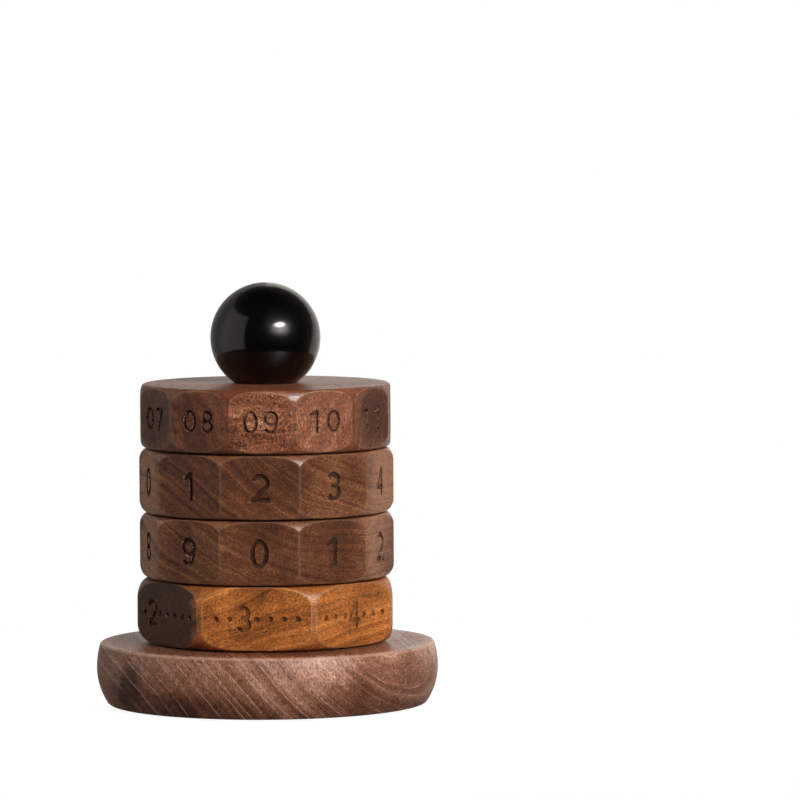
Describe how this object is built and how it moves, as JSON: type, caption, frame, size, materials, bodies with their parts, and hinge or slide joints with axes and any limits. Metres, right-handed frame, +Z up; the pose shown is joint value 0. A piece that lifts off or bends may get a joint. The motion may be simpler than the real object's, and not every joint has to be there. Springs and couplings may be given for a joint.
{
  "type": "perpetual desk calendar",
  "caption": "Desk calendar: a turned wooden base carries faceted rings for weekday, units, tens and month, each turning on a central spindle under a ball knob.",
  "frame": {"origin": "middle of the felt face that the calendar stands on, on the spindle's axis", "axes": "+Z up along the spindle; -Y is the front, where the date is read; +X is to the reader's right"},
  "size_m": [0.0992, 0.0992, 0.1227],
  "materials": {
    "base_wood": "satin oiled walnut, turned, grain and pores showing",
    "weekday_wood": "satin oiled walnut, warm orange brown",
    "units_wood": "satin oiled walnut, red brown",
    "tens_wood": "satin oiled walnut, red brown",
    "month_wood": "satin oiled walnut, red brown",
    "knob_black": "polished black",
    "felt": "pressed wool felt",
    "zinc_steel": "bright zinc plate",
    "sleeve_metal": "turned",
    "insert_brass": "turned",
    "bush_plastic": "natural nylon",
    "washer_plastic": "black nylon"
  },
  "bodies": {
    "stand": {"base": "base_wood", "base_felt": "felt", "tie_rod": "zinc_steel", "rod_nut": "zinc_steel", "rod_washer": "zinc_steel", "spindle_sleeve": "sleeve_metal", "ball_knob": "knob_black", "knob_insert": "insert_brass", "weekday_thrust_washer": "washer_plastic", "units_thrust_washer": "washer_plastic", "tens_thrust_washer": "washer_plastic", "month_thrust_washer": "washer_plastic", "knob_thrust_washer": "washer_plastic"},
    "weekday_wheel": {"weekday_ring": "weekday_wood", "weekday_bush": "bush_plastic"},
    "units_wheel": {"units_ring": "units_wood", "units_bush": "bush_plastic"},
    "tens_wheel": {"tens_ring": "tens_wood", "tens_bush": "bush_plastic"},
    "month_wheel": {"month_ring": "month_wood", "month_bush": "bush_plastic"}
  },
  "joints": [
    {"name": "weekday_spin", "type": "hinge", "parent": "stand", "child": "weekday_wheel", "pos_m": [0, 0, 0.028], "axis": [0, 0, 1], "continuous": true},
    {"name": "units_spin", "type": "hinge", "parent": "stand", "child": "units_wheel", "pos_m": [0, 0, 0.0468], "axis": [0, 0, 1], "continuous": true},
    {"name": "tens_spin", "type": "hinge", "parent": "stand", "child": "tens_wheel", "pos_m": [0, 0, 0.0656], "axis": [0, 0, 1], "continuous": true},
    {"name": "month_spin", "type": "hinge", "parent": "stand", "child": "month_wheel", "pos_m": [0, 0, 0.0844], "axis": [0, 0, 1], "continuous": true}
  ]
}
